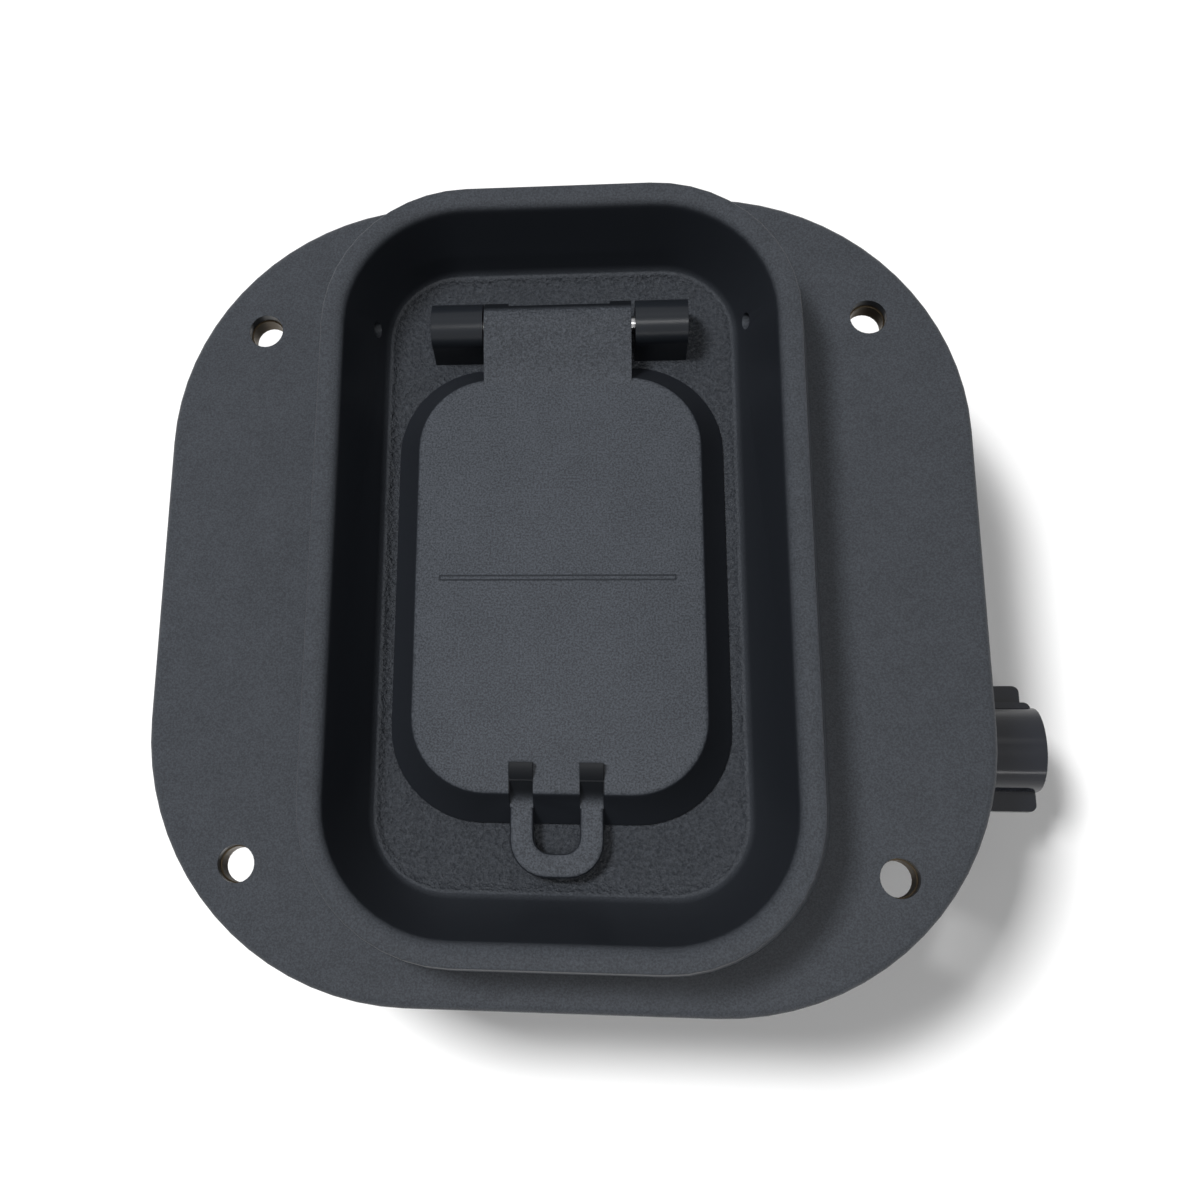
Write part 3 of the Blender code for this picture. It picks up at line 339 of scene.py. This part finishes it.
def moulded(
    name,
    satin_mask,
    coarse_mask,
    edge,
    steep,
    grain,
    gloss,
    face_tint=1.0,
    satin_shade=1.0,
    outer_mask=None,
    groove=None,
):
    """Moulded plastic: grained faces, coarser in places, polished steep walls and satin details, partly
    darkened by painted shade.

    The edge is a radius. The grain and its lighter colour set in as the z of the normal passes the two
    values of steep.
    The speckle's strength is grain, and the roughness of what isn't grained is gloss.
    """
    material, tree, shader = new_material(name)
    texture = add(tree, "ShaderNodeTexCoord")
    place = texture.outputs["Object"]
    x, y, z = split_axes(tree, place)
    flat_facing = split_axes(tree, texture.outputs["Normal"])
    edges = soft_edges(tree, edge_radius(tree, (x, y, z), flat_facing, edge))
    across, along, up = own_axes(tree, edges)

    satin = satin_mask(tree, x, y, z)
    coarse = coarse_mask(tree, x, y, z)
    flat = ramp(tree, up, *steep)
    if outer_mask is not None:
        flat = math_node(tree, "MAXIMUM", flat, outer_mask(tree, (x, y, z), (across, along)))
    grained = all_of(tree, flat, outside(tree, satin))

    fine = noise(tree, place, *FINE_GRAIN)
    hide = noise(tree, place, *HIDE_GRAIN)
    face = grain_colour(tree, place, fine, grain, face_tint)
    # Painted shade: the low places of the coarse grain are darkened.
    face = mix_colour(tree, pit_shade(tree, hide, coarse), face, POLISHED_AND_SHADED)
    # The satin's colour is scaled down for painted shade where the factor is below one.
    skin = mix_colour(tree, satin, POLISHED_AND_SHADED, scaled(SATIN, satin_shade))
    # The grained colour where grained; elsewhere the darker one, which on steep walls is partly polish and
    # partly painted shade.
    skin = mix_colour(tree, grained, skin, face)
    height = grain_height(tree, fine, hide, coarse, grained)
    if groove is not None:
        line = groove(tree, x, y, up)
        # Painted shade: the grooves are darkened, besides their relief.
        skin = mix_colour(tree, all_of(tree, line, GROOVE_SHADE), skin, POLISHED_AND_SHADED)
        height = math_node(tree, "SUBTRACT", height, all_of(tree, line, GROOVE_DEPTH))

    sheen = all_of(tree, coarse, grained, COARSE_SHEEN)
    dullness = ramp(tree, grained, 0.0, 1.0, gloss, GRAINED_ROUGHNESS)
    roughness = math_node(tree, "SUBTRACT", dullness, sheen)
    shader.inputs["Specular IOR Level"].default_value = MOULDED_SHINE
    tree.links.new(skin, shader.inputs["Base Color"])
    tree.links.new(roughness, shader.inputs["Roughness"])
    tree.links.new(bump(tree, height, GRAIN_BUMP, edges), shader.inputs["Normal"])
    return material


def bezel_satin(tree, x, y, z):
    """The two hinge barrels on their pedestals."""
    across = inside(tree, math_node(tree, "ABSOLUTE", x), *BARRELS, CRISP)
    along = inside(tree, y, HINGE_Y - BARREL_REACH, HINGE_Y + BARREL_REACH, CRISP)
    above = ramp(tree, z, *BARREL_FOOT)
    return all_of(tree, across, along, above)


def bezel_outside(tree, place, facing):
    """Where the bezel faces away from its middle, below the lip."""
    away = away_from_middle(tree, place, facing)
    return all_of(tree, away, ramp(tree, place[2], *OUTSIDE_TOP, 1.0, 0.0))


def bowl_floor(tree, x, y, z):
    """The bowl's floor, inside the rim and below the flange's front."""
    low = ramp(tree, z, *BOWL_FLOOR_TOP, 1.0, 0.0)
    across = inside(tree, x, -BOWL_HALF_W, BOWL_HALF_W, MM)
    along = inside(tree, y, -BOWL_HALF_H, BOWL_HALF_H, MM)
    return all_of(tree, low, across, along)


def lid_satin_and_shade(tree, x, y, z):
    """The two arms of the finger loop, where they turn down over the lid's edge, and the knuckle's back:
    smooth, and darkened by painted shade.
    """
    arms = all_of(
        tree,
        inside(tree, x, *ARMS, CRISP),
        ramp(tree, y, *ARMS_FOLD),
        ramp(tree, y, *ARMS_TOP, 1.0, 0.0),
        outside(tree, inside(tree, x, *ARMS_GAP, CRISP)),
    )
    return math_node(tree, "MAXIMUM", arms, ramp(tree, y, *KNUCKLE_BACK))


def lid_neck(tree, x, y, z):
    """The neck between the lid's face and the pin."""
    return all_of(tree, ramp(tree, y, *NECK), NECK_GRAIN)


def lid_bar(tree, x, y, up):
    """The plain engraved bar across the lid: two fine grooves that meet at their ends."""
    from_bar = math_node(tree, "ABSOLUTE", math_node(tree, "SUBTRACT", y, BAR_Y))
    sides = all_of(
        tree,
        inside(tree, from_bar, BAR_HALF - BAR_LINE, BAR_HALF + BAR_LINE, BAR_SOFT),
        inside(tree, x, BAR_LEFT, BAR_RIGHT, BAR_SOFT),
    )
    ends = [inside(tree, x, end - BAR_LINE, end + BAR_LINE, BAR_SOFT) for end in (BAR_LEFT, BAR_RIGHT)]
    within = ramp(tree, from_bar, BAR_HALF, BAR_HALF + BAR_SOFT, 1.0, 0.0)
    caps = all_of(tree, within, math_node(tree, "MAXIMUM", *ends))
    return all_of(tree, math_node(tree, "MAXIMUM", sides, caps), ramp(tree, up, *FLAT))


def cloud_over(tree, shader, cloud, colours, roughnesses):
    """Gives a shader a colour and a roughness that drift with a cloud of noise."""
    tree.links.new(mix_colour(tree, cloud, *colours), shader.inputs["Base Color"])
    tree.links.new(ramp(tree, cloud, *CLOUD_SPREAD, *roughnesses), shader.inputs["Roughness"])


def plain_plastic(name, colour, roughness):
    """Smooth plastic or rubber in one colour, a little cloudy and wavy."""
    material, tree, shader = new_material(name)
    shader.inputs["Specular IOR Level"].default_value = PLASTIC_SHINE
    place = own_place(tree)
    cloud = noise(tree, place, *PLASTIC_CLOUDS)
    colours = (colour, scaled(colour, PLASTIC_PALE))
    cloud_over(tree, shader, cloud, colours, scaled(PLASTIC_RANGE, roughness))
    waves = noise(tree, place, *PLASTIC_WAVES)
    normal = bump(tree, waves, SMOOTH_BUMP, soft_edges(tree, PLASTIC_EDGE))
    tree.links.new(normal, shader.inputs["Normal"])
    return material


def metal(name, colour, roughness):
    """Metal with fine scratches and a cloudy finish."""
    material, tree, shader = new_material(name)
    shader.inputs["Metallic"].default_value = 1.0
    place = own_place(tree)
    cloud = noise(tree, place, *METAL_CLOUDS)
    colours = (scaled(colour, METAL_DARK), colour)
    cloud_over(tree, shader, cloud, colours, scaled(METAL_RANGE, roughness))
    scratches = noise(tree, place, *METAL_SCRATCHES)
    normal = bump(tree, scratches, SMOOTH_BUMP, soft_edges(tree, METAL_EDGE), SCRATCH_STRENGTH)
    tree.links.new(normal, shader.inputs["Normal"])
    return material


def dress(names, material):
    """Gives CAD nodes a material, smooth round faces and crisp edges."""
    for name in names:
        obj = nodes[name]
        obj.data.materials.clear()
        obj.data.materials.append(material)
        for face in obj.data.polygons:
            face.use_smooth = True
        weld = obj.modifiers.new("weld", "WELD")
        weld.merge_threshold = WELD
        split = obj.modifiers.new("edges", "EDGE_SPLIT")
        split.split_angle = SMOOTH_ANGLE


def dress_all():
    """Dresses the two moulded pieces and then all that have a plain look."""
    bezel_plastic = moulded(
        "bezel_plastic",
        satin_mask=bezel_satin,
        coarse_mask=bowl_floor,
        edge=0.1 * MM,
        steep=(0.3, 0.72),
        grain=0.3,
        gloss=0.29,
        outer_mask=bezel_outside,
    )
    lid_plastic = moulded(
        "lid_plastic",
        satin_mask=lid_satin_and_shade,
        coarse_mask=lid_neck,
        edge=0.15 * MM,
        steep=(0.6, 0.9),
        grain=0.45,
        gloss=0.5,
        face_tint=1.22,
        # The lid's satin at half its colour: painted shade on the arms' fold and the knuckle's back.
        satin_shade=0.5,
        groove=lid_bar,
    )
    dress(["bezel"], bezel_plastic)
    dress(["lid"], lid_plastic)
    for names, name, colour, roughness in PLASTICS:
        dress(names, plain_plastic(name, colour, roughness))
    for names, name, colour, roughness in METALS:
        dress(names, metal(name, colour, roughness))


def make_camera():
    """The photograph's camera."""
    data = bpy.data.cameras.new("camera")
    data.sensor_width = SENSOR
    data.lens = LENS
    data.shift_x, data.shift_y = CAMERA_SHIFT
    data.clip_start = CLIP_NEAR
    data.clip_end = CLIP_FAR
    camera = bpy.data.objects.new("camera", data)
    bpy.context.scene.collection.objects.link(camera)
    back = -Vector(CAMERA_FORWARD).normalized()
    right = Vector(CAMERA_UP).cross(back).normalized()
    up = back.cross(right)
    turn = Matrix((right, up, back)).transposed().to_4x4()
    camera.matrix_world = Matrix.Translation(CAMERA_AT) @ turn
    bpy.context.scene.camera = camera


def seen_rays(tree):
    """One for rays that the camera sees straight, mirrored or through glass, and zero for the rest."""
    path = add(tree, "ShaderNodeLightPath")
    seen = math_node(tree, "MAXIMUM", path.outputs["Is Camera Ray"], path.outputs["Is Glossy Ray"])
    return math_node(tree, "MAXIMUM", seen, path.outputs["Is Transmission Ray"])


def choose_shader(tree, share, first, second, output):
    """Sends the first shader to the output where the share is zero, and the second where it is one."""
    choose = add(tree, "ShaderNodeMixShader")
    for source, socket in zip((share, first.outputs[0], second.outputs[0]), choose.inputs):
        tree.links.new(source, socket)
    tree.links.new(choose.outputs[0], tree.nodes[output].inputs["Surface"])


def make_floor():
    """A white floor that takes the shadow, and that stays white far from the lamps."""
    bpy.ops.mesh.primitive_plane_add(size=FLOOR_SIZE, location=(0.0, 0.0, cad_low.z))
    floor = bpy.context.object
    floor.name = "floor"
    material, tree, shader = new_material("floor")
    shader.inputs["Base Color"].default_value = WHITE
    shader.inputs["Roughness"].default_value = FLOOR_ROUGHNESS
    shader.inputs["Specular IOR Level"].default_value = 0.0
    reach = add(tree, "ShaderNodeVectorMath", operation="LENGTH")
    tree.links.new(own_place(tree), reach.inputs[0])
    far = ramp(tree, reach.outputs["Value"], *FLOOR_FADE)
    glow = add(tree, "ShaderNodeEmission", {"Color": WHITE, "Strength": 1.0})
    choose_shader(tree, all_of(tree, far, seen_rays(tree)), shader, glow, "Material Output")
    floor.data.materials.append(material)


def make_world():
    """White where it is seen, mirrored or looked through at, and an even pale light elsewhere."""
    world = bpy.data.worlds.new("studio")
    bpy.context.scene.world = world
    world.use_nodes = True
    tree = world.node_tree
    fill = tree.nodes["Background"]
    fill.inputs["Color"].default_value = WHITE
    fill.inputs["Strength"].default_value = WORLD_FILL
    backdrop = add(tree, "ShaderNodeBackground", {"Color": WHITE, "Strength": 1.0})
    choose_shader(tree, seen_rays(tree), fill, backdrop, "World Output")


def softbox(name, place, size, power, mirrored):
    """A rectangular lamp that points at the part."""
    data = bpy.data.lights.new(name, "AREA")
    data.shape = "RECTANGLE"
    data.size, data.size_y = size
    data.energy = power
    light = bpy.data.objects.new(name, data)
    bpy.context.scene.collection.objects.link(light)
    light.location = place
    light.rotation_euler = (Vector(LAMP_AIM) - Vector(place)).to_track_quat("-Z", "Y").to_euler()
    light.visible_glossy = mirrored


make_camera()
make_world()
for lamp in LAMPS:
    softbox(*lamp)
make_floor()
dress_all()
